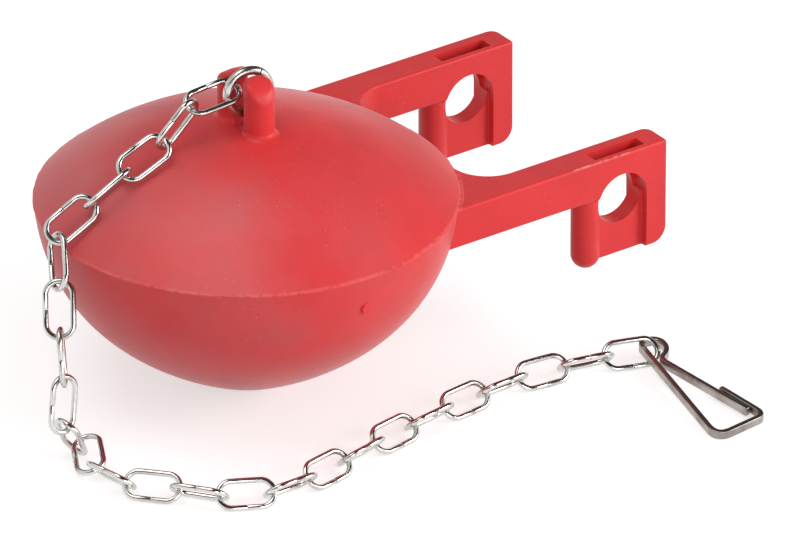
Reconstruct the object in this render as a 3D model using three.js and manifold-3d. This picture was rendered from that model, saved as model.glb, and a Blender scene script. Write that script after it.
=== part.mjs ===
// Toilet flapper: one moulded rubber body with a pull ring, a chain of bent wire links and a snap hook.
// Millimetres, +Z up. The body is modelled about the centre of its sealing rim, with its arms along +X.
// The whole assembly is moved at the end, so that its origin is the middle of its footprint, on the floor.
import * as THREE from 'three';
import { mergeVertices } from 'three/addons/utils/BufferGeometryUtils.js';
import Module from 'manifold-3d';

const wasm = await Module();
wasm.setup();

// Sealing dome and bowl
const rimRadius = 40;
const domeHeight = 15;
const bowlDepth = 38.2;
const bowlFlatRadius = 7;
const bowlDraft = 4.8;
const bowlConeRise = 29.3;
const bowlRimPull = 22.3;
const bowlFlatPull = 18.1;
const shellWall = 2.8;
const drainRadius = 4.4;
const gatePipRadius = 1.3;
const gatePipProud = 0.5;

// Yoke arms and the feet that clip on the overflow tube's pegs
const armReach = 77.2;
const armInner = 21.5;
const armThickness = 6.6;
const armDepth = 8.2;
const crotchRadius = 7.5;
const footLength = 22.7;
const footDepth = 21.6;
const footCornerRadius = 3.2;
const ribWidth = 7;
const ribDrop = 0.6;
const pegHoleRadius = 5.15;
const pegHoleSetback = 10.4;
const pegHoleDrop = 9.95;
const leadInMargin = 0.3;
const leadInDepth = 1;
const slotLength = 11.5;
const slotWidth = 2.9;
const slotShift = 0.8;
const endRound = 2;

// Lug on the dome
const lugSpacing = 8.8;
const lugPostRadius = 2.85;
const lugHeight = 9;
const lugTopSlope = 0.45;
const lugTopRound = 1.5;
const lugFlare = 0.9;
const webThickness = 2.5;
const webHeight = 6.4;
const ringHoleRadius = 2.1;
const ringHoleRise = 2.1;

// Pull ring
const ringOuterRadius = 5.2;
const ringWire = 1.75;
const ringTurn = 10;
const ringLean = 1;
const ringRoll = 4;
const ringGrip = 75;
const ringSlack = 0.3;
const ringSeam = 0.2;

// Chain
const linkCount = 25;
const linkLength = 11.65;
const linkWidth = 6.3;
const linkWire = 1.1;
const linkButt = 0.2;
const clearance = 0.3;
const looseJoints = 16;
const looseSlack = 0.2;

// Snap hook
const hookReach = 34;
const hookMouth = 11.9;
const hookBandHeight = 1.9;
const hookBandThickness = 0.8;
const hookEyeRadius = 2.15;
const hookCrossing = 0.9;
const hookNeck = 6.6;
const hookReturn = 12;
const hookBackSplay = 5.9;
const hookGateSplay = 10.1;
const hookEndRake = 12.6;
const hookHeading = -96.6;

const degrees = THREE.MathUtils.degToRad;
const floorZ = -bowlDepth;
const armOuter = armInner + armThickness;
const armCentre = armInner + armThickness / 2;
const footStart = armReach - footLength;
const pegHoleX = armReach - pegHoleSetback;
const leadInRadius = pegHoleRadius + leadInMargin;
const cutOver = 1;

// The dome is a cap of a sphere that passes through the rim.
const domeSphere = (rimRadius ** 2 + domeHeight ** 2) / (2 * domeHeight);
const domeCentreZ = domeHeight - domeSphere;

function domeZ(radius, proud = 0) {
  return domeCentreZ + Math.sqrt((domeSphere + proud) ** 2 - radius ** 2);
}

// Solids and booleans
function toSolid(geometry) {
  const bare = geometry.index ? geometry.toNonIndexed() : geometry.clone();
  bare.deleteAttribute('normal');
  bare.deleteAttribute('uv');
  const merged = mergeVertices(bare, 1e-4);
  const mesh = new wasm.Mesh({
    numProp: 3,
    vertProperties: new Float32Array(merged.attributes.position.array),
    triVerts: new Uint32Array(merged.index.array),
  });
  return new wasm.Manifold(mesh);
}

function toGeometry(solid) {
  const mesh = solid.getMesh();
  const geometry = new THREE.BufferGeometry();
  geometry.setAttribute('position', new THREE.BufferAttribute(mesh.vertProperties, 3));
  geometry.setIndex(new THREE.BufferAttribute(mesh.triVerts, 1));
  geometry.computeVertexNormals();
  return geometry;
}

// A lathe profile lists [radius, height] pairs from the bottom of the axis to its top.
function revolved(profile, segments) {
  const points = profile.map(([radius, height]) => new THREE.Vector2(radius, height));
  return new THREE.LatheGeometry(points, segments).rotateX(Math.PI / 2);
}

// A plan outline extruded upwards from the height bottom.
function slab(shape, bottom, height, curveSegments = 12) {
  return new THREE.ExtrudeGeometry(shape, { depth: height, bevelEnabled: false, curveSegments })
    .translate(0, 0, bottom);
}

// A side outline in X and Z, extruded along Y and centred on y.
function sidePlate(shape, y, thickness, curveSegments = 12) {
  return new THREE.ExtrudeGeometry(shape, { depth: thickness, bevelEnabled: false, curveSegments })
    .rotateX(Math.PI / 2)
    .translate(0, y + thickness / 2, 0);
}

function rectangle(x0, y0, x1, y1) {
  const shape = new THREE.Shape();
  shape.moveTo(x0, y0);
  shape.lineTo(x1, y0);
  shape.lineTo(x1, y1);
  shape.lineTo(x0, y1);
  shape.closePath();
  return shape;
}

// Bowl wall from the flat at the bottom up to the rim, moved in along its normal by inset.
function bowlWall(inset, count) {
  const draft = degrees(bowlDraft);
  const rise = degrees(bowlConeRise);
  const curve = new THREE.CubicBezierCurve(
    new THREE.Vector2(bowlFlatRadius, -bowlDepth),
    new THREE.Vector2(
      bowlFlatRadius + bowlFlatPull * Math.cos(rise),
      -bowlDepth + bowlFlatPull * Math.sin(rise),
    ),
    new THREE.Vector2(
      rimRadius - bowlRimPull * Math.sin(draft),
      -bowlRimPull * Math.cos(draft),
    ),
    new THREE.Vector2(rimRadius, 0),
  );
  const wall = [];
  for (let i = 0; i <= count; i += 1) {
    const point = curve.getPoint(i / count);
    const along = curve.getTangent(i / count);
    wall.push([point.x - along.y * inset, point.y + along.x * inset]);
  }
  return wall;
}

function domeArc(proud, fromRadius, count) {
  const arc = [];
  for (let i = 0; i <= count; i += 1) {
    const angle = Math.asin(fromRadius / (domeSphere + proud)) * (1 - i / count);
    arc.push([
      (domeSphere + proud) * Math.sin(angle),
      domeCentreZ + (domeSphere + proud) * Math.cos(angle),
    ]);
  }
  return arc;
}

// Dome, bowl and the air chamber inside them
function valveSolid() {
  const outside = [[0, -bowlDepth], ...bowlWall(0, 11), ...domeArc(0, rimRadius, 7).slice(1)];
  return toSolid(revolved(outside, 64));
}

function chamberSolid() {
  const wall = bowlWall(shellWall, 8).filter(([radius, height]) =>
    height > -bowlDepth + shellWall && height < -shellWall);
  const topRadius = wall[wall.length - 1][0];
  const bottom = [[0, -bowlDepth + shellWall], [bowlFlatRadius - 1, -bowlDepth + shellWall]];
  const chamber = toSolid(revolved([...bottom, ...wall, ...domeArc(-shellWall, topRadius, 4)], 40));
  const drain = [[0, -bowlDepth - cutOver], [drainRadius, -bowlDepth - cutOver],
    [drainRadius, -bowlDepth + shellWall + cutOver], [0, -bowlDepth + shellWall + cutOver]];
  return chamber.add(toSolid(revolved(drain, 20)));
}

function gatePipSolid() {
  const side = bowlWall(0, 40).reduce((best, point) =>
    (Math.abs(point[1] + 7) < Math.abs(best[1] + 7) ? point : best));
  const pip = new THREE.SphereGeometry(gatePipRadius, 12, 6);
  pip.scale(1, gatePipProud / gatePipRadius, 1);
  pip.translate(0, -side[0], side[1]);
  return toSolid(pip);
}

// Yoke: two arms joined to the bowl by round crotches that touch the rim
function yokeOutline() {
  const fromCentre = rimRadius + crotchRadius;
  const crotchY = armInner - crotchRadius;
  const crotchX = Math.sqrt(fromCentre ** 2 - crotchY ** 2);
  const rimAngle = Math.atan2(crotchY, crotchX);
  const rootX = 0.6 * rimRadius;
  const inside = 0.85 * rimRadius;
  const shape = new THREE.Shape();
  shape.moveTo(rootX, -armOuter);
  shape.lineTo(armReach, -armOuter);
  shape.lineTo(armReach, -armInner - endRound);
  shape.quadraticCurveTo(armReach, -armInner, armReach - endRound, -armInner);
  shape.lineTo(crotchX, -armInner);
  shape.absarc(crotchX, -crotchY, crotchRadius, -Math.PI / 2, Math.PI - rimAngle, true);
  shape.lineTo(inside, 0);
  shape.absarc(crotchX, crotchY, crotchRadius, Math.PI + rimAngle, Math.PI / 2, true);
  shape.lineTo(armReach, armInner);
  shape.lineTo(armReach, armOuter - endRound);
  shape.quadraticCurveTo(armReach, armOuter, armReach - endRound, armOuter);
  shape.lineTo(rootX, armOuter);
  shape.closePath();
  return shape;
}

function footPlate(y) {
  const start = footStart + ribWidth / 2;
  const shape = new THREE.Shape();
  shape.moveTo(start, -armDepth / 2);
  shape.lineTo(start, -footDepth);
  shape.lineTo(armReach - footCornerRadius, -footDepth);
  shape.absarc(armReach - footCornerRadius, -footDepth + footCornerRadius, footCornerRadius,
    -Math.PI / 2, 0, false);
  shape.lineTo(armReach, -armDepth / 2);
  shape.closePath();
  return toSolid(sidePlate(shape, y, armThickness));
}

// The rib is a round bar with a round end, just under the arm.
function footRib(y) {
  const radius = ribWidth / 2;
  const endZ = -footDepth - ribDrop + radius;
  const profile = [];
  for (let i = 0; i <= 4; i += 1) {
    const angle = (i / 4) * Math.PI / 2;
    profile.push([radius * Math.sin(angle), endZ - radius * Math.cos(angle)]);
  }
  profile[0][0] = 0;
  profile.push([radius, -armDepth / 2], [0, -armDepth / 2]);
  return toSolid(revolved(profile, 20).translate(footStart + radius, y, 0));
}

// Peg hole, its lead-in on both faces, and the moulding slot from the top
function footCuts(y) {
  const hole = new THREE.Shape();
  hole.absarc(pegHoleX, -pegHoleDrop, pegHoleRadius, 0, 2 * Math.PI, false);
  let cuts = toSolid(sidePlate(hole, y, armThickness + 2 * cutOver, 12));
  const leadIn = new THREE.Shape();
  leadIn.moveTo(pegHoleX - leadInRadius, -footDepth - cutOver);
  leadIn.lineTo(pegHoleX + leadInRadius, -footDepth - cutOver);
  leadIn.lineTo(pegHoleX + leadInRadius, -pegHoleDrop);
  leadIn.absarc(pegHoleX, -pegHoleDrop, leadInRadius, 0, Math.PI, false);
  leadIn.closePath();
  for (const side of [-1, 1]) {
    const face = y + side * armThickness / 2;
    cuts = cuts.add(toSolid(sidePlate(leadIn, face, 2 * leadInDepth, 10)));
  }
  const slotY = y - slotShift;
  const slot = rectangle(
    pegHoleX - slotLength / 2,
    slotY - slotWidth / 2,
    pegHoleX + slotLength / 2,
    slotY + slotWidth / 2,
  );
  return cuts.add(toSolid(slab(slot, -pegHoleDrop, pegHoleDrop + cutOver)));
}

// Lug: two round posts with tops that slope outwards, joined by a thin web with the ring's hole in it
function lugPost(side) {
  const y = side * lugSpacing / 2;
  const footZ = domeZ(lugSpacing / 2 + lugPostRadius + lugFlare) - 0.3;
  const topZ = domeHeight + lugHeight;
  const profile = [[0, footZ], [lugPostRadius + lugFlare, footZ]];
  for (let i = 1; i <= 3; i += 1) {
    const angle = (i / 3) * Math.PI / 2;
    profile.push([
      lugPostRadius + lugFlare * (1 - Math.sin(angle)),
      footZ + 0.4 + lugFlare * (1 - Math.cos(angle)),
    ]);
  }
  const shoulder = lugPostRadius - lugTopRound;
  for (let i = 0; i <= 3; i += 1) {
    const angle = (i / 3) * Math.PI / 2;
    profile.push([
      shoulder + lugTopRound * Math.cos(angle),
      topZ + lugTopRound * (Math.sin(angle) - 1),
    ]);
  }
  profile.push([0, topZ + 0.2]);
  const post = revolved(profile, 20);
  const position = post.attributes.position;
  for (let i = 0; i < position.count; i += 1) {
    const z = position.getZ(i);
    if (z > topZ - 2 * lugTopRound) {
      position.setZ(i, z - lugTopSlope * side * position.getY(i));
    }
  }
  return toSolid(post.translate(0, y, 0));
}

function lugWeb() {
  const top = domeHeight + webHeight;
  const web = new THREE.Shape();
  web.moveTo(-webThickness / 2 - lugFlare, domeHeight - 1);
  web.lineTo(webThickness / 2 + lugFlare, domeHeight - 1);
  web.quadraticCurveTo(webThickness / 2, domeHeight, webThickness / 2, domeHeight + lugFlare);
  web.lineTo(webThickness / 2, top - webThickness / 2);
  web.absarc(0, top - webThickness / 2, webThickness / 2, 0, Math.PI, false);
  web.lineTo(-webThickness / 2, domeHeight + lugFlare);
  web.quadraticCurveTo(-webThickness / 2, domeHeight, -webThickness / 2 - lugFlare, domeHeight - 1);
  return toSolid(sidePlate(web, 0, lugSpacing, 6));
}

function ringHole() {
  const hole = new THREE.CylinderGeometry(ringHoleRadius, ringHoleRadius, 3 * lugPostRadius, 16)
    .rotateZ(Math.PI / 2)
    .translate(0, 0, domeHeight + ringHoleRise);
  return toSolid(hole);
}

function flapperGeometry() {
  let body = valveSolid().add(toSolid(slab(yokeOutline(), -armDepth, armDepth)));
  for (const y of [-armCentre, armCentre]) {
    body = body.add(footPlate(y)).add(footRib(y)).subtract(footCuts(y));
  }
  for (const side of [-1, 1]) {
    body = body.add(lugPost(side));
  }
  body = body.add(lugWeb()).subtract(ringHole());
  return toGeometry(body.add(gatePipSolid()).subtract(chamberSolid()));
}

// Bent round wire: a section of few sides swept along an open path, with flat cut ends
function bentWire(path, diameter, sides, steps) {
  const section = new THREE.Shape();
  for (let i = 0; i < sides; i += 1) {
    const angle = ((i + 0.5) / sides) * 2 * Math.PI;
    const x = (diameter / 2) * Math.cos(angle);
    const y = (diameter / 2) * Math.sin(angle);
    if (i === 0) section.moveTo(x, y);
    else section.lineTo(x, y);
  }
  section.closePath();
  return new THREE.ExtrudeGeometry(section, { steps, bevelEnabled: false, extrudePath: path });
}

class RingPath extends THREE.Curve {
  getPoint(t, target = new THREE.Vector3()) {
    const radius = (2 * ringOuterRadius - ringWire) / 2;
    const gap = ringSeam / radius;
    const angle = Math.PI / 3 + gap / 2 + t * (2 * Math.PI - gap);
    return target.set(radius * Math.cos(angle), radius * Math.sin(angle), 0);
  }
}

// A link lies in its own XY plane, long in X, with its butt joint in the middle of one leg.
class LinkPath extends THREE.Curve {
  getPoint(t, target = new THREE.Vector3()) {
    const bend = (linkWidth - linkWire) / 2;
    const leg = (linkLength - linkWidth) / 2;
    const half = leg * 2 + Math.PI * bend - linkButt / 2;
    let run = Math.abs(t - 0.5) * 2 * half;
    const side = t < 0.5 ? -1 : 1;
    if (run <= leg) return target.set(side * run, bend, 0);
    run -= leg;
    if (run <= Math.PI * bend) {
      const angle = run / bend;
      return target.set(side * (leg + bend * Math.sin(angle)), bend * Math.cos(angle), 0);
    }
    run -= Math.PI * bend;
    return target.set(side * (leg - run), -bend, 0);
  }
}

// The ring hangs through the lug's hole, turned a little off the web and leaning back.
const ringLine = ringOuterRadius - ringWire / 2;
const ringAcross = new THREE.Vector3(Math.cos(degrees(ringTurn)), -Math.sin(degrees(ringTurn)), 0);
const ringUp = new THREE.Vector3(0, 0, 1).applyAxisAngle(ringAcross, -degrees(ringLean));
const ringNormal = new THREE.Vector3().crossVectors(ringAcross, ringUp);
const ringCentre = new THREE.Vector3(0, -0.45, domeHeight + ringHoleRise + 0.3)
  .addScaledVector(ringAcross, ringLine * Math.sin(degrees(ringRoll)))
  .addScaledVector(ringUp, ringLine * Math.cos(degrees(ringRoll)));
const grip = ringCentre.clone()
  .addScaledVector(ringAcross, -ringLine * Math.sin(degrees(ringGrip)))
  .addScaledVector(ringUp, ringLine * Math.cos(degrees(ringGrip)));

// Two wires that meet in a joint lie half a gap each side of it.
const jointGap = linkWire + clearance;
const looseGap = jointGap + looseSlack;
const gripGap = (ringWire + linkWire) / 2 + clearance + ringSlack;
const linkBend = (linkWidth - linkWire) / 2;
const linkLeg = linkLength - linkWidth;
const chainLift = linkBend * Math.SQRT1_2 + linkWire / 2 + 0.05;
const domeLift = chainLift + 0.3;

// The chain runs from the ring down the dome on one meridian, off the rim and down to the floor.
const meridian = degrees(177);
const landingRadius = 20;
function onMeridian(radius, z) {
  return new THREE.Vector3(radius * Math.cos(meridian), radius * Math.sin(meridian), z);
}

function chainRoute() {
  const lifted = domeSphere + domeLift;
  const rimNormal = Math.asin(rimRadius / domeSphere);
  const route = [grip, new THREE.Vector3(-10, 0.8, domeHeight + lugHeight - 1.2)];
  for (let angle = Math.asin(landingRadius / lifted); angle < rimNormal; angle += degrees(2)) {
    route.push(onMeridian(lifted * Math.sin(angle), domeCentreZ + lifted * Math.cos(angle)));
  }
  for (let angle = rimNormal; angle < Math.PI / 2; angle += degrees(10)) {
    route.push(onMeridian(rimRadius + domeLift * Math.sin(angle), domeLift * Math.cos(angle)));
  }
  const hangDrop = bowlDepth - chainLift;
  const hang = [[4.3, -3, 0.13], [6.6, -6.5, 0.35], [7.8, -9.5, 0.6], [8.8, -11.4, 0.83]];
  for (const [out, y, fall] of hang) {
    route.push(new THREE.Vector3(-rimRadius - out, y, -fall * hangDrop));
  }
  const onFloor = [[-43.1, -8.2], [-46.3, -17.4], [-44.4, -25.7], [-38, -32.9], [-32.2, -40],
    [-24, -43.7], [-15, -43.3], [3, -39.4], [21, -36.5], [39, -35.3], [57.4, -38.5], [76, -45.6]];
  const floorLine = new THREE.CatmullRomCurve3(
    onFloor.map(([x, y]) => new THREE.Vector3(x, y, floorZ + chainLift)),
    false,
    'centripetal',
  );
  return [...route, ...floorLine.getPoints(160)];
}

// Walks the route in chords, one for each link.
function walkRoute(route, chords) {
  const joints = [route[0].clone()];
  let next = 1;
  for (const chord of chords) {
    const from = joints[joints.length - 1];
    while (next < route.length - 1 && route[next].distanceTo(from) < chord) next += 1;
    const inside = route[next - 1].distanceTo(from) < chord ? route[next - 1] : from;
    let low = 0;
    let high = route[next].distanceTo(from) < chord ? 4 : 1;
    for (let k = 0; k < 40; k += 1) {
      const middle = (low + high) / 2;
      if (inside.clone().lerp(route[next], middle).distanceTo(from) < chord) low = middle;
      else high = middle;
    }
    joints.push(inside.clone().lerp(route[next], high));
  }
  return joints;
}

// Twist of each of the first eleven links from lying open, in degrees; the rest lean by turns.
const hangingTwist = [20, -75, 0, 80, 0, 54, 0, -90, -45, 53, 5];
const openSide = new THREE.Vector3(-0.5, -0.6, 0.6).normalize();

function linkNormal(index, along) {
  if (index < hangingTwist.length) {
    const open = openSide.clone().addScaledVector(along, -openSide.dot(along)).normalize();
    return open.applyAxisAngle(along, degrees(hangingTwist[index]));
  }
  const level = new THREE.Vector3(along.y, -along.x, 0).normalize();
  if (level.dot(openSide) < 0) level.negate();
  if (index % 2 === 1) level.negate();
  return level.add(new THREE.Vector3(0, 0, 1)).normalize();
}

function between(a, b) {
  return b.clone().sub(a).normalize();
}

// A link end reaches past its joint by reach, with its bend centred on the pull of the chain there.
function bendCentre(joint, pull, normal, reach, side) {
  const inPlane = pull.clone().addScaledVector(normal, -pull.dot(normal)).normalize();
  return joint.clone()
    .addScaledVector(pull, side * reach)
    .addScaledVector(inPlane, -side * linkBend);
}

// How far the wire at each end of a link lies past its joint
function endReach(joint) {
  if (joint === 0) return gripGap;
  return (joint < looseJoints ? looseGap : jointGap) / 2;
}

// Where the chain folds, its joints stand further apart, so the chords are corrected a few times.
function layChain(route) {
  const chords = [];
  for (let i = 0; i < linkCount; i += 1) {
    chords.push(linkLength - linkWire - endReach(i) - endReach(i + 1));
  }
  let places = [];
  for (let pass = 0; pass < 6; pass += 1) {
    const joints = walkRoute(route, chords);
    const ways = chords.map((_, i) => between(joints[i], joints[i + 1]));
    const pulls = joints.map((_, i) => {
      const before = ways[i - 1] ?? ways[i];
      const after = ways[i] ?? ways[i - 1];
      return before.clone().add(after).normalize();
    });
    places = ways.map((way, i) => {
      const normal = linkNormal(i, places[i] ? places[i].along : way);
      const start = bendCentre(joints[i], pulls[i], normal, endReach(i), -1);
      const end = bendCentre(joints[i + 1], pulls[i + 1], normal, endReach(i + 1), 1);
      chords[i] += linkLeg - start.distanceTo(end);
      const along = between(start, end);
      const centre = start.add(end).multiplyScalar(0.5);
      if (i >= hangingTwist.length) {
        along.setZ(0).normalize();
        centre.setZ(floorZ + chainLift);
      }
      return { along, normal: linkNormal(i, along), centre };
    });
  }
  return places;
}

const steel = new THREE.MeshStandardMaterial({ color: '#c9cbcc', metalness: 1, roughness: 0.22 });
const bandSteel = new THREE.MeshStandardMaterial({ color: '#a8a49b', metalness: 1, roughness: 0.35 });
const rubber = new THREE.MeshStandardMaterial({ color: '#d8323a', metalness: 0, roughness: 0.45 });

function namedMesh(name, geometry, material) {
  const mesh = new THREE.Mesh(geometry, material);
  mesh.name = name;
  return mesh;
}

function placeByAxes(mesh, along, normal, position) {
  const across = new THREE.Vector3().crossVectors(normal, along);
  mesh.quaternion.setFromRotationMatrix(new THREE.Matrix4().makeBasis(along, across, normal));
  mesh.position.copy(position);
  return mesh;
}

function chainMeshes(places) {
  const path = new LinkPath();
  return places.map(({ along, normal, centre }, index) => {
    const name = `chain_link_${String(index + 1).padStart(2, '0')}`;
    const link = namedMesh(name, bentWire(path, linkWire, 8, 24), steel);
    return placeByAxes(link, along, normal, centre);
  });
}

// Snap hook: one strip of flat wire on edge. In plan it starts at the tip of the return,
// goes round the end, along the back, round the eye and down the springy gate.
// The back of the eye passes through the plan's origin.
function hookPlan() {
  const backSlope = -Math.tan(degrees(hookBackSplay));
  const gateSlope = Math.tan(degrees(hookGateSplay));
  const rake = Math.tan(degrees(hookEndRake));
  const heel = new THREE.Vector2(hookReach, backSlope * hookReach);
  const nose = new THREE.Vector2(hookReach - rake * hookMouth, heel.y + hookMouth);
  const gateStart = new THREE.Vector2(hookNeck, backSlope * hookNeck + 1.9);
  const gateRun = hookReach - hookNeck - 6.2;
  const eye = new THREE.Vector2(0, hookEyeRadius);
  const plan = new THREE.Path();
  plan.moveTo(nose.x - hookReturn, nose.y - (gateSlope + 0.04) * hookReturn);
  plan.lineTo(nose.x - 2.4, nose.y - (gateSlope + 0.04) * 2.4);
  plan.quadraticCurveTo(nose.x, nose.y, nose.x + 2 * rake, nose.y - 2);
  plan.lineTo(heel.x - 3.4 * rake, heel.y + 3.4);
  plan.quadraticCurveTo(heel.x, heel.y, heel.x - 3.8, heel.y - 3.8 * backSlope);
  plan.lineTo(0.4, 0.4 * backSlope);
  plan.absarc(eye.x, eye.y, hookEyeRadius, -Math.PI / 2, -1.5 * Math.PI, true);
  plan.bezierCurveTo(2.4, 2 * eye.y, 3.6, 3, 4.4, 1.8);
  plan.quadraticCurveTo(5.2, gateStart.y - 0.3, gateStart.x, gateStart.y);
  plan.lineTo(gateStart.x + gateRun, gateStart.y + gateRun * gateSlope);
  return plan.getPoints(6);
}

function stripOutline(points, thickness) {
  const left = [];
  const right = [];
  points.forEach((point, i) => {
    const inward = i > 0 ? between(points[i - 1], point) : null;
    const outward = i < points.length - 1 ? between(point, points[i + 1]) : null;
    const along = (inward ?? outward).clone().add(outward ?? inward).normalize();
    const mitre = inward && outward ? Math.max(along.dot(outward), 0.5) : 1;
    const side = new THREE.Vector2(-along.y, along.x).multiplyScalar(thickness / 2 / mitre);
    left.push(point.clone().add(side));
    right.push(point.clone().sub(side));
  });
  return new THREE.Shape([...left, ...right.reverse()]);
}

function hookMesh(crossing) {
  const outline = stripOutline(hookPlan(), hookBandThickness);
  const hook = namedMesh('snap_hook', slab(outline, -hookBandHeight / 2, hookBandHeight), bandSteel);
  const lift = crossing.z - hookBandHeight / 2 - floorZ;
  const tilt = new THREE.Quaternion()
    .setFromAxisAngle(new THREE.Vector3(0, 1, 0), Math.asin(lift / hookReach));
  const heading = new THREE.Quaternion()
    .setFromAxisAngle(new THREE.Vector3(0, 0, 1), degrees(hookHeading));
  hook.quaternion.copy(heading.multiply(tilt));
  hook.position.copy(crossing)
    .sub(new THREE.Vector3(hookCrossing, 0, 0).applyQuaternion(hook.quaternion));
  return hook;
}

const assembly = new THREE.Group();
assembly.add(namedMesh('flapper_body', flapperGeometry(), rubber));

const ring = namedMesh('lug_ring', bentWire(new RingPath(), ringWire, 10, 36), steel);
assembly.add(placeByAxes(ring, ringAcross, ringNormal, ringCentre));

const places = layChain(chainRoute());
chainMeshes(places).forEach((link) => assembly.add(link));

// The hook's back crosses the last link well clear of the bend.
const last = places[linkCount - 1];
const hookInset = hookBandThickness / 2 + linkWire + 0.9;
const crossing = last.centre.clone()
  .addScaledVector(last.along, (linkLength - linkWire) / 2 - hookInset);
assembly.add(hookMesh(crossing));

// Origin at the middle of the footprint, on the floor
const box = new THREE.Box3().setFromObject(assembly, true);
const centre = box.getCenter(new THREE.Vector3());
assembly.position.set(-centre.x, -centre.y, -box.min.z);

const part = new THREE.Group();
part.add(assembly);
export default part;
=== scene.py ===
import math

import bpy
import numpy as np
from mathutils import Matrix, Vector


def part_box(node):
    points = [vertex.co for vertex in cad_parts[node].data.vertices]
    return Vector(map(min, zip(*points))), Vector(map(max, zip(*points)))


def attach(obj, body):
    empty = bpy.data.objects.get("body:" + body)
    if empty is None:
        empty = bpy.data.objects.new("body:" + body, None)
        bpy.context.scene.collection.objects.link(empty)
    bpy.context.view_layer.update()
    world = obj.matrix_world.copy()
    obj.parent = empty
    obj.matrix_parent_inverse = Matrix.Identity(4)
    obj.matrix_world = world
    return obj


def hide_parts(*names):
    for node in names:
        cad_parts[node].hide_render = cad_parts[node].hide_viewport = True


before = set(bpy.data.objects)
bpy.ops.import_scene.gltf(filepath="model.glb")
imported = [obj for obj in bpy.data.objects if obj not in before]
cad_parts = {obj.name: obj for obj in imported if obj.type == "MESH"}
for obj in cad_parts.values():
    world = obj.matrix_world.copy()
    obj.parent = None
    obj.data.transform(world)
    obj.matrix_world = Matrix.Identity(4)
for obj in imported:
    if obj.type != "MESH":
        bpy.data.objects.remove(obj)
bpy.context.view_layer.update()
mm = 0.001


# Camera. A long lens far from the flapper, looking down on the bowl's near side, with the arms
# going off to the right. It is placed from the centre of the sealing rim, where the flat rim
# plane meets the bowl's axis.
rim_radius = 40 * mm
bowl_depth = 38.2 * mm
body_low, body_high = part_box("flapper_body")
rim_centre = Vector((body_low.x + rim_radius, (body_low.y + body_high.y) / 2, bowl_depth))

camera_turn = math.radians(-35.276)
camera_height = math.radians(28.529)
camera_roll = math.radians(-0.12)
camera_distance = 2038 * mm
camera_lens = 497.78
camera_target = rim_centre + Vector((2.998, -45.382, 2.815)) * mm

backwards = Vector((
    math.sin(camera_turn) * math.cos(camera_height),
    -math.cos(camera_turn) * math.cos(camera_height),
    math.sin(camera_height),
))
rightwards = Vector((math.cos(camera_turn), math.sin(camera_turn), 0))
rightwards = Matrix.Rotation(camera_roll, 3, backwards) @ rightwards
upwards = backwards.cross(rightwards)

bpy.ops.object.camera_add()
camera = bpy.context.object
camera.name = "studio_camera"
camera.matrix_world = Matrix.Translation(camera_target + backwards * camera_distance) @ Matrix((
    rightwards, upwards, backwards)).transposed().to_4x4()
camera.data.lens = camera_lens
camera.data.sensor_width = 36
camera.data.clip_end = 20
bpy.context.scene.camera = camera
bpy.context.scene.view_settings.view_transform = "Standard"


# Shader maths. Each finish is one material. Arithmetic on a value adds its Math nodes, and any
# other node is made by one method that takes its type, its settings and what feeds its sockets.
class Value:
    def __init__(self, finish, socket):
        self.finish = finish
        self.socket = socket

    def with_other(self, operation, first, second):
        return self.finish.node("ShaderNodeMath", {"operation": operation}, {0: first, 1: second})

    def __add__(self, other):
        return self.with_other("ADD", self, other)

    def __sub__(self, other):
        return self.with_other("SUBTRACT", self, other)

    def __rsub__(self, other):
        return self.with_other("SUBTRACT", other, self)

    def __mul__(self, other):
        return self.with_other("MULTIPLY", self, other)


class Finish:
    def __init__(self, name, tree=None):
        if tree is None:
            self.material = bpy.data.materials.new(name)
            self.material.use_nodes = True
            tree = self.material.node_tree
        self.tree = tree

    def feed(self, socket, value):
        if isinstance(value, Value):
            self.tree.links.new(value.socket, socket)
        else:
            socket.default_value = value

    def node(self, kind, settings=None, inputs=None, output=0):
        made = self.tree.nodes.new(kind)
        for name, value in (settings or {}).items():
            setattr(made, name, value)
        for key, value in (inputs or {}).items():
            self.feed(made.inputs[key], value)
        return Value(self, made.outputs[output])

    def axis(self, where, name):
        return self.node("ShaderNodeSeparateXYZ", {}, {"Vector": where}, output=name)

    def noise(self, where, scale, detail=3, roughness=0.5):
        return self.node("ShaderNodeTexNoise", {}, {
            "Vector": where, "Scale": scale, "Detail": detail, "Roughness": roughness})

    def between(self, value, low, high):
        """0 below low, 1 above high, and smooth between them."""
        return self.node("ShaderNodeMapRange", {"interpolation_type": "SMOOTHSTEP"}, {
            "Value": value, "From Min": low, "From Max": high})

    def mix(self, factor, first, second):
        mixed = self.tree.nodes.new("ShaderNodeMix")
        mixed.data_type = "RGBA"
        self.feed(mixed.inputs[0], factor)
        self.feed(mixed.inputs[6], first)
        self.feed(mixed.inputs[7], second)
        return Value(self, mixed.outputs[2])

    def surface(self, **inputs):
        shader = self.tree.nodes["Principled BSDF"]
        for name, value in inputs.items():
            self.feed(shader.inputs[name.replace("_", " ").title().replace("Ior", "IOR")], value)


# Studio. A plain pale sheet to lie on, and a plain pale room round it. The sheet and the room
# show white to the camera. What shines shows the white sheet as it sweeps up all round, a broad
# white window high on the left, and the dark rest of the room. The sheet keeps the soft shadow.
floor_size = 6
sheet_colour = (0.58, 0.58, 0.58, 1)
sheet_glow = 0.58
room_light = 0.55
window_side = Vector((-0.50, 0.30, 0.81))
window_edge = (0.74, 0.86)
sweep_top = (0.16, 0.34)
dark_wall = (0.04, 0.035, 0.035, 1)
white = (1, 1, 1, 1)

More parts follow.
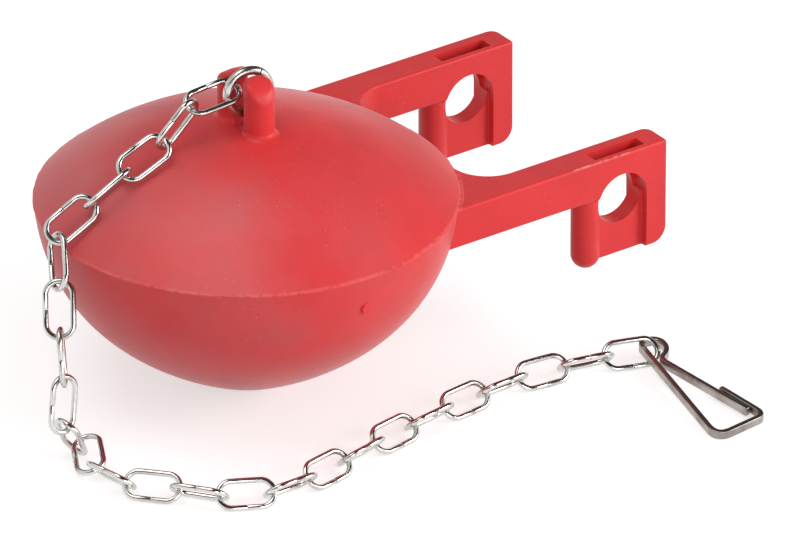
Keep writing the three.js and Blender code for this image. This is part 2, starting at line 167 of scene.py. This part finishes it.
bpy.ops.object.select_all(action="DESELECT")
bpy.ops.mesh.primitive_plane_add(size=floor_size, location=(0, 0, -0.05 * mm))
sheet = bpy.context.object
sheet.name = "studio_sheet"
paper = Finish("studio_paper")
seen = paper.node("ShaderNodeLightPath", output="Is Camera Ray")
mirrored = paper.node("ShaderNodeLightPath", output="Is Glossy Ray")
through = paper.node("ShaderNodeLightPath", output="Is Transmission Ray")
shown = paper.between(seen + mirrored + through, 0, 1)
paper.surface(
    base_color=sheet_colour,
    roughness=0.9,
    emission_color=white,
    emission_strength=shown * sheet_glow,
)
sheet.data.materials.append(paper.material)

room = bpy.data.worlds.new("studio_room")
room.use_nodes = True
bpy.context.scene.world = room
walls = Finish("studio_walls", room.node_tree)
seen = walls.node("ShaderNodeLightPath", output="Is Camera Ray")
mirrored = walls.node("ShaderNodeLightPath", output="Is Glossy Ray")
direction = walls.node("ShaderNodeTexCoord", output="Generated")
towards_window = walls.node("ShaderNodeVectorMath", {"operation": "DOT_PRODUCT"}, {
    0: direction, 1: window_side}, output="Value")
window = walls.between(towards_window, *window_edge)
sweep = 1 - walls.between(walls.axis(direction, "Z"), *sweep_top)
panels = walls.mix(walls.between(window + sweep, 0, 1), dark_wall, white)
reflected = walls.mix(mirrored, (room_light, room_light, room_light, 1), panels)
background = room.node_tree.nodes["Background"]
walls.feed(background.inputs["Color"], walls.mix(seen, reflected, white))
background.inputs["Strength"].default_value = 1


def softbox(name, location, size, power):
    bpy.ops.object.light_add(type="AREA", location=location)
    lamp = bpy.context.object
    lamp.name = name
    lamp.data.shape = "RECTANGLE"
    lamp.data.size = size[0]
    lamp.data.size_y = size[1]
    lamp.data.energy = power
    aim = camera_target - Vector(location)
    lamp.rotation_euler = aim.to_track_quat("-Z", "Y").to_euler()


softbox("overhead_softbox", (-0.25, 0.1, 0.9), (0.6, 0.4), 1.8)
softbox("right_softbox", (0.75, -0.75, 0.4), (0.6, 0.5), 7.2)
softbox("front_softbox", (-0.2, -1.0, 0.35), (0.5, 0.4), 2.8)


# Red rubber. One moulded, slightly hazy synthetic rubber: clean red with random patches of pale
# pink bloom, which also carries painted sheen as it grows towards the rim and on the left, a
# painted pale sheen over the left of the dome, fine specks, a painted highlight line along the
# rim's flash, and light lines on the outer top edges of the feet. Its zones are measured from the
# rim's centre.
clean_red = (0.68, 0.025, 0.027, 1)
deep_red = (0.58, 0.017, 0.020, 1)
stain_red = (0.44, 0.020, 0.024, 1)
# Pale pink of the random bloom, and of the painted sheen it carries.
bloom_sheen_pink = (0.62, 0.11, 0.12, 1)
# Painted reflection colour for the pale sheen over the left of the dome.
left_sheen_pink = (0.64, 0.27, 0.28, 1)
speck_pink = (0.85, 0.42, 0.40, 1)
# Painted highlight colour for the broken line along the rim's flash.
rim_highlight_pink = (0.92, 0.20, 0.17, 1)
arm_inner = 21.5 * mm
arm_thickness = 6.6 * mm
arm_outer = arm_inner + arm_thickness
rim_sheen_radius = (9 * mm, 38 * mm)
sheen_fade_zone = (-22 * mm, 34 * mm)
left_sheen_zone = (-38 * mm, 2 * mm)
left_sheen_height = (-0.3 * mm, 0.5 * mm)
left_sheen_thins = (27 * mm, 38 * mm)
light_edge_zone = (52 * mm, 58 * mm)

rubber = Finish("red_rubber")
place = rubber.node("ShaderNodeTexCoord", output="Object")
on_rim = rubber.node("ShaderNodeMapping", {}, {"Vector": place, "Location": -rim_centre})
clouds = rubber.noise(on_rim, 26, 4, 0.55)
smears = rubber.noise(on_rim, 85, 5, 0.6)
grain = rubber.noise(on_rim, 900, 3, 0.6)
pits = rubber.noise(on_rim, 2600, 2, 0.5)
height = rubber.axis(on_rim, "Z")
flat_place = rubber.node("ShaderNodeVectorMath", {"operation": "MULTIPLY"}, {
    0: on_rim, 1: (1, 1, 0)})
radius = rubber.node("ShaderNodeVectorMath", {"operation": "LENGTH"}, {0: flat_place},
                     output="Value")
along = rubber.axis(on_rim, "X")
haze = rubber.between(clouds * 0.75 + smears * 0.25, 0.36, 0.64)
sheen_towards_rim = rubber.between(radius, *rim_sheen_radius)
specks = rubber.between(pits, 0.68, 0.75) * rubber.between(clouds, 0.32, 0.55)
stains = rubber.between(rubber.noise(on_rim, 48, 5, 0.62), 0.46, 0.68)
# Painted highlight: a pale broken line along the rim's flash.
rim_highlight = (rubber.between(radius, rim_radius - 0.5 * mm, rim_radius - 0.05 * mm)
         * (1 - rubber.between(radius, rim_radius + 0.6 * mm, rim_radius + 0.8 * mm))
         * rubber.between(height, -0.6 * mm, -0.1 * mm)
         * rubber.between(grain * 0.5 + smears * 0.5, 0.44, 0.54))
aside = rubber.node("ShaderNodeMath", {"operation": "ABSOLUTE"}, {0: rubber.axis(on_rim, "Y")})
# Lighter along the outer top edges of the arms' ends and feet.
light_edge = (rubber.between(aside, arm_outer - 0.5 * mm, arm_outer - 0.1 * mm)
             * rubber.between(height, -0.5 * mm, -0.1 * mm)
             * rubber.between(along, *light_edge_zone)
             * rubber.between(grain * 0.4 + smears * 0.6, 0.48, 0.6))
red = rubber.mix(rubber.between(smears, 0.3, 0.7) * 0.5, clean_red, deep_red)
sheen_fades_right = rubber.between(along, *sheen_fade_zone)
stained = rubber.mix(stains * 0.32, red, stain_red)
# Random pale pink bloom with painted sheen: it grows towards the rim and is strongest on the left,
# fading on the right.
bloom_and_sheen = rubber.mix((haze * 0.5 + 0.06) * (sheen_towards_rim * 0.75 + 0.25) * (1 - sheen_fades_right * 0.92),
                     stained, bloom_sheen_pink)
# Painted reflection: a pale pink sheen over the left of the dome above the rim, thinner near the
# rim.
left_sheen = ((1 - rubber.between(along, *left_sheen_zone))
          * rubber.between(height, *left_sheen_height)
          * (haze * 0.5 + 0.5)
          * (1 - rubber.between(radius, *left_sheen_thins) * 0.6))
with_left_sheen = rubber.mix(left_sheen * 0.46, bloom_and_sheen, left_sheen_pink)
dusty = rubber.mix(specks * 0.32, with_left_sheen, speck_pink)
with_rim_highlight = rubber.mix(rim_highlight * 0.3, dusty, rim_highlight_pink)
with_light_edge = rubber.mix(light_edge * 0.55, with_rim_highlight, speck_pink)
bumps = rubber.node("ShaderNodeBump", {}, {
    "Strength": 0.35, "Distance": 0.12 * mm,
    "Height": grain * 0.5 + pits * 0.25 + smears * 1.6})
rubber.surface(
    base_color=with_light_edge,
    roughness=haze * 0.12 + grain * 0.08 + 0.36,
    normal=bumps,
    specular_ior_level=0.38,
    sheen_weight=0.18,
    sheen_roughness=0.35,
)


# Dome and bowl. One hollow rubber shell, the same all round: a low dome over a deep bowl that
# ends in a small flat with the drain hole. The halves of the mould meet at the sealing rim,
# which keeps a thin, slightly torn line of flash.
dome_height = 15 * mm
bowl_flat = 7 * mm
bowl_draft = math.radians(4.8)
bowl_cone = math.radians(29.3)
rim_pull = 22.3 * mm
flat_pull = 18.1 * mm
shell_wall = 2.8 * mm
drain_radius = 4.4 * mm
flash_proud = 0.22 * mm
flash_thickness = 0.3 * mm
drain_ease = 0.3 * mm
weld = 0.002 * mm
shell_turns = 160
dome_sphere = (rim_radius ** 2 + dome_height ** 2) / (2 * dome_height)


def trace(name, points, closed=False):
    """A line of edges, drawn by extruding one vertex through the points."""
    bpy.ops.object.select_all(action="DESELECT")
    bpy.ops.mesh.primitive_plane_add(size=0.1 * mm, location=points[0])
    bpy.ops.object.transform_apply(location=True, rotation=True, scale=True)
    piece = bpy.context.object
    piece.name = name
    bpy.ops.object.mode_set(mode="EDIT")
    bpy.ops.mesh.merge(type="CENTER")
    for start, end in zip(points, points[1:]):
        step = Vector(end) - Vector(start)
        bpy.ops.mesh.extrude_region_move(TRANSFORM_OT_translate={"value": step})
    if closed:
        bpy.ops.mesh.select_all(action="SELECT")
        bpy.ops.mesh.edge_face_add()
    return piece


def turned(name, profile, centre, steps):
    """A profile of [radius, height] pairs spun about an upright axis through the centre."""
    points = [Vector(centre) + Vector((radius, 0, height)) for radius, height in profile]
    piece = trace(name, points)
    bpy.ops.mesh.select_all(action="SELECT")
    bpy.ops.mesh.spin(steps=steps, angle=2 * math.pi, center=centre, axis=(0, 0, 1))
    bpy.ops.mesh.select_all(action="SELECT")
    bpy.ops.mesh.remove_doubles(threshold=weld)
    bpy.ops.mesh.normals_make_consistent(inside=False)
    bpy.ops.object.mode_set(mode="OBJECT")
    return piece


def raised(name, outline, along):
    """A flat closed outline extruded along a vector."""
    piece = trace(name, outline, closed=True)
    bpy.ops.mesh.extrude_region_move(TRANSFORM_OT_translate={"value": along})
    bpy.ops.mesh.select_all(action="SELECT")
    bpy.ops.mesh.normals_make_consistent(inside=False)
    bpy.ops.object.mode_set(mode="OBJECT")
    return piece


def eased(piece, width, segments=3, angle=30):
    """Rounds the edges that are sharper than the angle, as a mould or a file does."""
    bpy.context.view_layer.objects.active = piece
    bevel = piece.modifiers.new("eased_edges", "BEVEL")
    bevel.width = width
    bevel.segments = segments
    bevel.limit_method = "ANGLE"
    bevel.angle_limit = math.radians(angle)
    bpy.ops.object.modifier_apply(modifier=bevel.name)
    return piece


def joined(body, piece, operation="UNION"):
    """Adds the piece to the body, or cuts it out of it."""
    bpy.context.view_layer.objects.active = body
    cut = body.modifiers.new("joined", "BOOLEAN")
    cut.operation = operation
    cut.object = piece
    cut.solver = "EXACT"
    bpy.ops.object.modifier_apply(modifier=cut.name)
    bpy.data.objects.remove(piece)


def cubic(a, b, c, d, t):
    """A point on the curve that leaves a towards b and comes to d from c."""
    s = 1 - t
    return a * s ** 3 + b * 3 * s * s * t + c * 3 * s * t * t + d * t ** 3


def bowl_wall(inset, count):
    """The wall from the flat up to the rim, moved in along its normal."""
    corners = (
        Vector((bowl_flat, -bowl_depth)),
        Vector((bowl_flat + flat_pull * math.cos(bowl_cone),
                -bowl_depth + flat_pull * math.sin(bowl_cone))),
        Vector((rim_radius - rim_pull * math.sin(bowl_draft), -rim_pull * math.cos(bowl_draft))),
        Vector((rim_radius, 0)),
    )
    step = 0.001
    wall = []
    for i in range(count + 1):
        t = i / count
        point = cubic(*corners, t)
        course = cubic(*corners, min(t + step, 1)) - cubic(*corners, max(t - step, 0))
        course.normalize()
        wall.append((point.x - course.y * inset, point.y + course.x * inset))
    return wall


def dome_arc(inset, from_radius, count):
    """The dome from a radius up to its top, moved in along its normal."""
    sphere = dome_sphere - inset
    curve = []
    for i in range(count + 1):
        angle = math.asin(from_radius / sphere) * (1 - i / count)
        curve.append((sphere * math.sin(angle),
                      dome_height - dome_sphere + sphere * math.cos(angle)))
    return curve


inner_wall = [point for point in bowl_wall(shell_wall, 24)
              if -bowl_depth + shell_wall < point[1] < -shell_wall]
outer_wall = [point for point in bowl_wall(0, 44) if point[1] < -0.9 * mm]
shell_profile = [
    *reversed(dome_arc(shell_wall, inner_wall[-1][0], 12)),
    *reversed(inner_wall),
    (bowl_flat - 1 * mm, -bowl_depth + shell_wall),
    (drain_radius + drain_ease, -bowl_depth + shell_wall),
    (drain_radius, -bowl_depth + shell_wall - drain_ease),
    (drain_radius, -bowl_depth + drain_ease),
    (drain_radius + drain_ease, -bowl_depth),
    (bowl_flat - 0.4 * mm, -bowl_depth),
    *outer_wall[1:],
    (rim_radius - 0.02 * mm, -0.55 * mm),
    (rim_radius, -flash_thickness),
    (rim_radius + flash_proud, -flash_thickness + 0.05 * mm),
    (rim_radius + flash_proud, -0.05 * mm),
    (rim_radius - 0.1 * mm, 0.06 * mm),
    *dome_arc(0, rim_radius - 0.5 * mm, 40),
]
shell_profile[0] = (0, shell_profile[0][1])
shell_profile[-1] = (0, shell_profile[-1][1])
body = turned("flapper_rubber", shell_profile, rim_centre, shell_turns)

# The flash is torn to an uneven width round the rim.
for vertex in body.data.vertices:
    out = vertex.co - rim_centre
    reach = math.hypot(out.x, out.y)
    if reach > rim_radius + 0.1 * mm:
        angle = math.atan2(out.y, out.x)
        ragged = (math.sin(17 * angle + 1) + math.sin(41 * angle) + math.sin(73 * angle + 2)) / 3
        keep = rim_radius + flash_proud * (0.45 + 0.5 * ragged)
        vertex.co.x = rim_centre.x + out.x / reach * keep
        vertex.co.y = rim_centre.y + out.y / reach * keep


# Yoke and feet. Two arms run back from the rim to the overflow tube, moulded in one with the
# bowl and joined to it by round crotches. Each ends in a foot with a round rib, a peg hole in a
# recess that is open at the bottom on both faces, and a slot from above down into the hole.
arm_reach = 77.2 * mm
arm_depth = 8.2 * mm
crotch_radius = 7.5 * mm
foot_length = 19.55 * mm
foot_depth = 21.6 * mm
foot_corner = 3.2 * mm
rib_width = 5.6 * mm
rib_drop = 1.9 * mm
peg_hole_radius = 5.15 * mm
peg_hole_setback = 10.4 * mm
peg_hole_drop = 9.95 * mm
lead_in_margin = 0.5 * mm
lead_in_depth = 1.5 * mm
slot_length = 11.5 * mm
slot_width = 2.9 * mm
slot_shift = 0.8 * mm
end_round = 2 * mm
lead_in_end = math.pi - 0.32
cut_over = 2 * mm
skin = 0.02 * mm
arm_middle = arm_inner + arm_thickness / 2
peg_x = arm_reach - peg_hole_setback
rib_radius = rib_width / 2
foot_start = arm_reach - foot_length + rib_radius


def arc(centre, radius, start, end, count):
    """Points round a centre, between two angles."""
    return [Vector((centre[0] + radius * math.cos(start + (end - start) * i / count),
                    centre[1] + radius * math.sin(start + (end - start) * i / count)))
            for i in range(count + 1)]


def on_plan(points, height):
    return [rim_centre + Vector((x, y, height)) for x, y in points]


def on_side(points, y):
    return [rim_centre + Vector((x, y, z)) for x, z in points]


crotch_y = arm_inner - crotch_radius
crotch_x = math.sqrt((rim_radius + crotch_radius) ** 2 - crotch_y ** 2)
crotch_angle = math.atan2(crotch_y, crotch_x)
yoke_outline = [
    (0.6 * rim_radius, -arm_outer),
    (arm_reach, -arm_outer),
    *arc((arm_reach - end_round, -arm_inner - end_round), end_round, 0, math.pi / 2, 6),
    *arc((crotch_x, -crotch_y), crotch_radius, -math.pi / 2, -math.pi - crotch_angle, 24),
    (0.85 * rim_radius, 0),
    *arc((crotch_x, crotch_y), crotch_radius, math.pi + crotch_angle, math.pi / 2, 24),
    (arm_reach, arm_inner),
    *arc((arm_reach - end_round, arm_outer - end_round), end_round, 0, math.pi / 2, 6),
    (0.6 * rim_radius, arm_outer),
]
yoke = raised("yoke", on_plan(yoke_outline, -arm_depth), (0, 0, arm_depth - skin))
joined(body, eased(yoke, 0.55 * mm))

for y in (-arm_middle, arm_middle):
    near = y - arm_thickness / 2 + skin
    foot_outline = [
        (foot_start, -arm_depth / 2),
        (foot_start, -foot_depth),
        *arc((arm_reach - foot_corner, -foot_depth + foot_corner), foot_corner,
             -math.pi / 2, 0, 10),
        (arm_reach - skin, -arm_depth / 2),
    ]
    foot = raised("foot", on_side(foot_outline, near), (0, arm_thickness - 2 * skin, 0))
    joined(body, eased(foot, 0.5 * mm))

    lead_in = peg_hole_radius + lead_in_margin
    lead_outline = [
        (foot_start, -foot_depth - cut_over),
        (peg_x + lead_in, -foot_depth - cut_over),
        *arc((peg_x, -peg_hole_drop), lead_in, 0, lead_in_end, 36),
        (foot_start, -arm_depth),
    ]
    for side in (-1, 1):
        face = y + side * (arm_thickness / 2 - lead_in_depth)
        recess = raised("lead_in", on_side(lead_outline, face),
                        (0, side * 2 * lead_in_depth, 0))
        joined(body, eased(recess, 0.35 * mm, 2, 60), "DIFFERENCE")

    rib_end = -foot_depth - rib_drop + rib_radius
    rib_profile = []
    for i in range(11):
        angle = i * math.pi / 20
        rib_profile.append((rib_radius * math.sin(angle), rib_end - rib_radius * math.cos(angle)))
    rib_profile += [(rib_radius, -arm_depth + 0.6 * mm), (0, -arm_depth + 0.6 * mm)]
    rib_centre = rim_centre + Vector((foot_start, y, 0))
    joined(body, turned("rib", rib_profile, rib_centre, 48))

    slot_y = y - slot_shift
    slot_outline = [
        (peg_x - slot_length / 2, slot_y - slot_width / 2),
        (peg_x + slot_length / 2, slot_y - slot_width / 2),
        (peg_x + slot_length / 2, slot_y + slot_width / 2),
        (peg_x - slot_length / 2, slot_y + slot_width / 2),
    ]
    slot = raised("slot", on_plan(slot_outline, -peg_hole_drop), (0, 0, peg_hole_drop + cut_over))
    joined(body, eased(slot, 0.25 * mm, 2), "DIFFERENCE")

    bpy.ops.mesh.primitive_cylinder_add(
        vertices=72, radius=peg_hole_radius, depth=2 * arm_thickness,
        location=rim_centre + Vector((peg_x, y, -peg_hole_drop)), rotation=(math.pi / 2, 0, 0))
    joined(body, bpy.context.object, "DIFFERENCE")


# Lug. Two round posts on top of the dome, rounded down on their outer sides, and a thin web
# between them with the hole for the ring. A round fillet runs round the foot of the posts.
lug_spacing = 8.8 * mm
post_radius = 2.9 * mm
lug_heights = {-1: 10.8 * mm, 1: 10 * mm}
outer_round = 6 * mm
outer_start = -2.4 * mm
top_round = 1 * mm
lug_flare = 1.4 * mm
web_thickness = 2.5 * mm
web_flare = 1.8 * mm
web_height = 6.4 * mm
ring_hole_radius = 2.1 * mm
ring_hole_rise = 2.1 * mm
quarter = math.pi / 2

for side in (-1, 1):
    foot_radius = post_radius + lug_flare
    foot_z = dome_arc(0, lug_spacing / 2 + foot_radius, 1)[0][1] - 0.5 * mm
    top_z = dome_height + lug_heights[side]
    post_profile = [(0, foot_z), (foot_radius + 0.25 * mm, foot_z)]
    for i in range(9):
        angle = i / 8 * quarter
        flared = post_radius + lug_flare * (1 - math.sin(angle))
        post_profile.append((flared + 0.1 * mm * (1 - i / 8),
                             foot_z + 0.55 * mm + lug_flare * (1 - math.cos(angle))))
    post_profile += [(post_radius, top_z - top_round - 5 * mm * (1 - i / 8)) for i in range(1, 8)]
    for i in range(11):
        angle = i / 10 * quarter
        post_profile.append((post_radius - top_round + top_round * math.cos(angle),
                             top_z + top_round * (math.sin(angle) - 1)))
    post_profile += [((post_radius - top_round) * (1 - i / 4), top_z + 0.2 * mm * i / 4)
                     for i in range(1, 5)]
    post_centre = rim_centre + Vector((0, side * lug_spacing / 2, 0))
    post = turned("lug_post", post_profile, post_centre, 64)
    for vertex in post.data.vertices:
        rise = vertex.co.z - rim_centre.z - dome_height
        share = min(max(rise / (lug_heights[side] - top_round), 0), 1)
        out = min(max(side * (vertex.co.y - post_centre.y) - outer_start, 0), 0.93 * outer_round)
        vertex.co.z -= share * (outer_round - math.sqrt(outer_round ** 2 - out ** 2))
    joined(body, post)

web_top = dome_height + web_height
web_foot = dome_height - 0.1 * mm
half_web = web_thickness / 2
flare = [(web_flare * (1 - math.sin(i / 6 * quarter)), web_flare * (1 - math.cos(i / 6 * quarter)))
         for i in range(7)]
web_outline = [
    (-half_web - web_flare, dome_height - 1 * mm),
    (half_web + web_flare, dome_height - 1 * mm),
    *[(half_web + out, web_foot + up) for out, up in flare],
    *arc((0, web_top - half_web), half_web, 0, math.pi, 16),
    *[(-half_web - up, web_foot + out) for out, up in flare],
]
web = raised("lug_web", on_side(web_outline, -lug_spacing / 2), (0, lug_spacing, 0))
joined(body, web)
bpy.ops.mesh.primitive_cylinder_add(
    vertices=40, radius=ring_hole_radius, depth=6 * post_radius,
    location=rim_centre + Vector((0, 0, dome_height + ring_hole_rise)),
    rotation=(0, math.pi / 2, 0))
joined(body, bpy.context.object, "DIFFERENCE")


# Gate mark. The little round stub on the near side of the bowl, where the rubber ran into the
# mould.
pip_drop = 7 * mm
pip_radius = 1.2 * mm
pip_proud = 0.5 * mm
pip_out = min(bowl_wall(0, 60), key=lambda point: abs(point[1] + pip_drop))[0]
bpy.ops.mesh.primitive_cylinder_add(
    vertices=32, radius=pip_radius, depth=2 * mm,
    location=rim_centre + Vector((0, -pip_out + 1 * mm - pip_proud, -pip_drop)),
    rotation=(math.pi / 2, 0, 0))
bpy.ops.object.transform_apply(location=True, rotation=True, scale=True)
joined(body, eased(bpy.context.object, 0.25 * mm))

bpy.ops.object.select_all(action="DESELECT")
body.select_set(True)
bpy.context.view_layer.objects.active = body
bpy.ops.object.shade_smooth_by_angle(angle=math.radians(32))
weighted = body.modifiers.new("even_shading", "WEIGHTED_NORMAL")
weighted.keep_sharp = True
bpy.ops.object.modifier_apply(modifier=weighted.name)
body.data.materials.append(rubber.material)
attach(body, "root")
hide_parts("flapper_body")


# Chain. Twenty-five links of bright plated wire, each bent round until its two cut ends meet in
# the middle of one leg. One link is made and copied to where each link lies.
link_length = 11.65 * mm
link_width = 6.3 * mm
link_wire = 1.1 * mm
link_butt = 0.2 * mm
cut_ease = 0.09 * mm

nickel = Finish("bright_nickel")
place = nickel.node("ShaderNodeTexCoord", output="Object")
tarnish = nickel.noise(place, 180, 4, 0.6)
scratches = nickel.noise(place, 2400, 3, 0.7)
nickel.surface(
    base_color=nickel.mix(nickel.between(tarnish, 0.42, 0.72) * 0.6,
                          (0.66, 0.66, 0.64, 1), (0.40, 0.38, 0.34, 1)),
    metallic=1.0,
    roughness=nickel.between(tarnish, 0.35, 0.75) * 0.12 + scratches * 0.08 + 0.08,
    normal=nickel.node("ShaderNodeBump", {}, {
        "Strength": 0.25, "Distance": 0.03 * mm, "Height": scratches + tarnish}),
)


def cut_open(loop, gap, axis, side):
    """Cuts a wire loop through on one side and caps its two ends, which face along the axis."""
    facing = Vector((0, 0, 0))
    facing[axis] = 1
    bpy.ops.object.mode_set(mode="EDIT")
    for end in (-1, 1):
        bpy.ops.mesh.select_all(action="SELECT")
        bpy.ops.mesh.bisect(plane_co=facing * (end * gap / 2), plane_no=facing)
    bpy.ops.mesh.select_all(action="DESELECT")
    bpy.ops.mesh.select_mode(type="FACE")
    bpy.ops.object.mode_set(mode="OBJECT")
    for face in loop.data.polygons:
        face.select = abs(face.center[axis]) < gap / 2 and face.center[1 - axis] * side > 0
    bpy.ops.object.mode_set(mode="EDIT")
    bpy.ops.mesh.delete(type="FACE")
    bpy.ops.mesh.select_all(action="SELECT")
    bpy.ops.mesh.fill_holes(sides=0)
    bpy.ops.mesh.normals_make_consistent(inside=False)
    bpy.ops.mesh.select_mode(type="VERT")
    bpy.ops.object.mode_set(mode="OBJECT")
    eased(loop, cut_ease, 2, 60)
    bpy.ops.object.shade_smooth_by_angle(angle=math.radians(40))


def bent_link():
    """A link in its own XY plane, long in X, with its butt in the leg on the -Y side."""
    bpy.ops.object.select_all(action="DESELECT")
    bpy.ops.mesh.primitive_torus_add(
        major_segments=48, minor_segments=18,
        major_radius=(link_width - link_wire) / 2, minor_radius=link_wire / 2)
    link = bpy.context.object
    half_leg = (link_length - link_width) / 2
    for vertex in link.data.vertices:
        if abs(vertex.co.x) > 0.01 * mm:
            vertex.co.x += math.copysign(half_leg, vertex.co.x)
    cut_open(link, link_butt, 0, -1)
    return link


def laid(node):
    """How a piece lies: its centre, its axes from the longest on, and its points along them."""
    points = np.array([vertex.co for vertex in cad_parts[node].data.vertices])
    axes = np.linalg.svd(points - points.mean(0), full_matrices=False)[2]
    spots = points @ axes.T
    middle = (spots.max(0) + spots.min(0)) / 2
    away = spots - middle
    return Vector(middle @ axes), [Vector(axis) for axis in axes], away


def placed(piece, name, node, centre, along, across):
    """Names a finished piece, turns it from its own X and Y to where it lies, and hides its part.
    """
    piece.name = name
    normal = along.cross(across)
    turn = Matrix((along, across, normal)).transposed().to_4x4()
    piece.matrix_world = Matrix.Translation(centre) @ turn
    bpy.ops.object.select_all(action="DESELECT")
    piece.select_set(True)
    bpy.context.view_layer.objects.active = piece
    bpy.ops.object.transform_apply(location=True, rotation=True, scale=True)
    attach(piece, "root")
    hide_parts(node)


first_link = bent_link()
first_link.data.materials.append(nickel.material)
for number in range(1, 26):
    node = f"chain_link_{number:02d}"
    centre, (along, across, _), away = laid(node)
    # The cut leg has more points near its middle, and it goes on the link's -Y side.
    middle = np.abs(away[:, 0]) < 2 * link_butt
    if (away[middle, 1] > 0).sum() > (away[middle, 1] < 0).sum():
        across = -across
    link = first_link.copy()
    link.data = first_link.data.copy()
    bpy.context.scene.collection.objects.link(link)
    placed(link, f"wire_link_{number:02d}", node, centre, along, across)
bpy.data.objects.remove(first_link)


# Ring. A heavier split ring of satin steel wire through the lug's hole. Its cut ends meet high
# on one side.
ring_radius = 5.2 * mm
ring_wire = 1.75 * mm
ring_seam = 0.2 * mm

steel = Finish("satin_steel")
place = steel.node("ShaderNodeTexCoord", output="Object")
drawn = steel.noise(place, 260, 4, 0.6)
fine = steel.noise(place, 3000, 3, 0.7)
steel.surface(
    base_color=steel.mix(steel.between(drawn, 0.35, 0.7),
                         (0.66, 0.65, 0.62, 1), (0.42, 0.40, 0.37, 1)),
    metallic=1.0,
    roughness=drawn * 0.12 + fine * 0.1 + 0.15,
    normal=steel.node("ShaderNodeBump", {}, {
        "Strength": 0.3, "Distance": 0.04 * mm, "Height": fine + drawn}),
)

bpy.ops.object.select_all(action="DESELECT")
bpy.ops.mesh.primitive_torus_add(
    major_segments=96, minor_segments=24,
    major_radius=ring_radius - ring_wire / 2, minor_radius=ring_wire / 2)
ring = bpy.context.object
cut_open(ring, ring_seam, 1, 1)
ring.data.materials.append(steel.material)
centre, axes, away = laid("lug_ring")
towards_seam = away.mean(0)
along = (axes[0] * towards_seam[0] + axes[1] * towards_seam[1]).normalized()
across = axes[2].cross(along)
placed(ring, "split_ring", "lug_ring", centre, along, across)


# Snap hook. One strip of flat spring steel bent on edge: round the eye that holds the last link,
# straight along the back, round the end and back outside the springy gate.
hook_reach = 34 * mm
hook_mouth = 11.9 * mm
strip_height = 1.65 * mm
strip_thickness = 1.05 * mm
hook_eye = 2.15 * mm
hook_neck = 6.6 * mm
hook_return = 12 * mm
gate_gap = 1.9 * mm
gate_short = 5.6 * mm
return_bend = 2.4 * mm
nose_bend = 2 * mm
heel_rise = 3.4 * mm
heel_bend = 3.8 * mm
back_slope = -math.tan(math.radians(5.9))
gate_slope = math.tan(math.radians(13.4))
return_slope = math.tan(math.radians(12.3))
end_rake = math.tan(math.radians(12.6))
hook_place = Vector((50.90, -23.09, 2.36)) * mm
hook_heading = math.radians(-96.6)
hook_tilt = math.asin(1.4 / 32)
strip_ease = 0.16 * mm

strip_steel = Finish("grey_spring_steel")
place = strip_steel.node("ShaderNodeTexCoord", output="Object")
rolled = strip_steel.noise(place, 220, 4, 0.6)
fine = strip_steel.noise(place, 3200, 3, 0.7)
strip_steel.surface(
    base_color=strip_steel.mix(strip_steel.between(rolled, 0.35, 0.7),
                               (0.42, 0.40, 0.37, 1), (0.26, 0.22, 0.20, 1)),
    metallic=1.0,
    roughness=rolled * 0.14 + fine * 0.1 + 0.18,
    normal=strip_steel.node("ShaderNodeBump", {}, {
        "Strength": 0.3, "Distance": 0.04 * mm, "Height": fine + rolled}),
)


def quadratic(a, b, c, count):
    """Points of a bend from a to c round the corner b, without a itself."""
    return [a.lerp(b, i / count).lerp(b.lerp(c, i / count), i / count)
            for i in range(1, count + 1)]


def along_line(a, b, count):
    return [a.lerp(b, i / count) for i in range(1, count + 1)]


heel = Vector((hook_reach, back_slope * hook_reach))
nose = Vector((hook_reach - end_rake * hook_mouth, heel.y + hook_mouth))
gate_start = Vector((hook_neck, back_slope * hook_neck + gate_gap))
gate_run = hook_reach - hook_neck - gate_short
plan = [Vector((nose.x - hook_return, nose.y - return_slope * hook_return))]
plan += along_line(plan[-1],
                   Vector((nose.x - return_bend, nose.y - return_slope * return_bend)), 4)
plan += quadratic(plan[-1], nose,
                  Vector((nose.x + nose_bend * end_rake, nose.y - nose_bend)), 10)
plan += along_line(plan[-1],
                   Vector((heel.x - heel_rise * end_rake, heel.y + heel_rise)), 3)
plan += quadratic(plan[-1], heel,
                  Vector((heel.x - heel_bend, heel.y - heel_bend * back_slope)), 12)
plan += along_line(plan[-1], Vector((0.4 * mm, 0.4 * mm * back_slope)), 8)
plan += arc((0, hook_eye), hook_eye, -math.pi / 2, -1.5 * math.pi, 24)
turn_in = [plan[-1], Vector((2.4 * mm, 2 * hook_eye)), Vector((3.6 * mm, 3 * mm)),
           Vector((4.4 * mm, 1.8 * mm))]
plan += [cubic(*turn_in, i / 10) for i in range(1, 11)]
plan += quadratic(plan[-1], Vector((5.2 * mm, gate_start.y - 0.3 * mm)), gate_start, 6)
plan += along_line(gate_start, gate_start + Vector((gate_run, gate_run * gate_slope)), 6)

hook = trace("spring_snap_hook", [Vector((x, y, -strip_height / 2)) for x, y in plan])
bpy.ops.mesh.select_all(action="SELECT")
bpy.ops.mesh.extrude_region_move(TRANSFORM_OT_translate={"value": (0, 0, strip_height)})
bpy.ops.mesh.select_all(action="SELECT")
bpy.ops.mesh.remove_doubles(threshold=weld)
bpy.ops.mesh.normals_make_consistent(inside=False)
bpy.ops.object.mode_set(mode="OBJECT")
thick = hook.modifiers.new("strip", "SOLIDIFY")
thick.thickness = strip_thickness
thick.offset = 0
thick.use_even_offset = True
bpy.context.view_layer.objects.active = hook
bpy.ops.object.modifier_apply(modifier=thick.name)
eased(hook, strip_ease, 3, 50)
bpy.ops.object.shade_smooth_by_angle(angle=math.radians(35))
hook.data.materials.append(strip_steel.material)
facing = Matrix.Rotation(hook_heading, 3, "Z") @ Matrix.Rotation(hook_tilt, 3, "Y")
placed(hook, "spring_snap_hook", "snap_hook", hook_place,
       facing @ Vector((1, 0, 0)), facing @ Vector((0, 1, 0)))
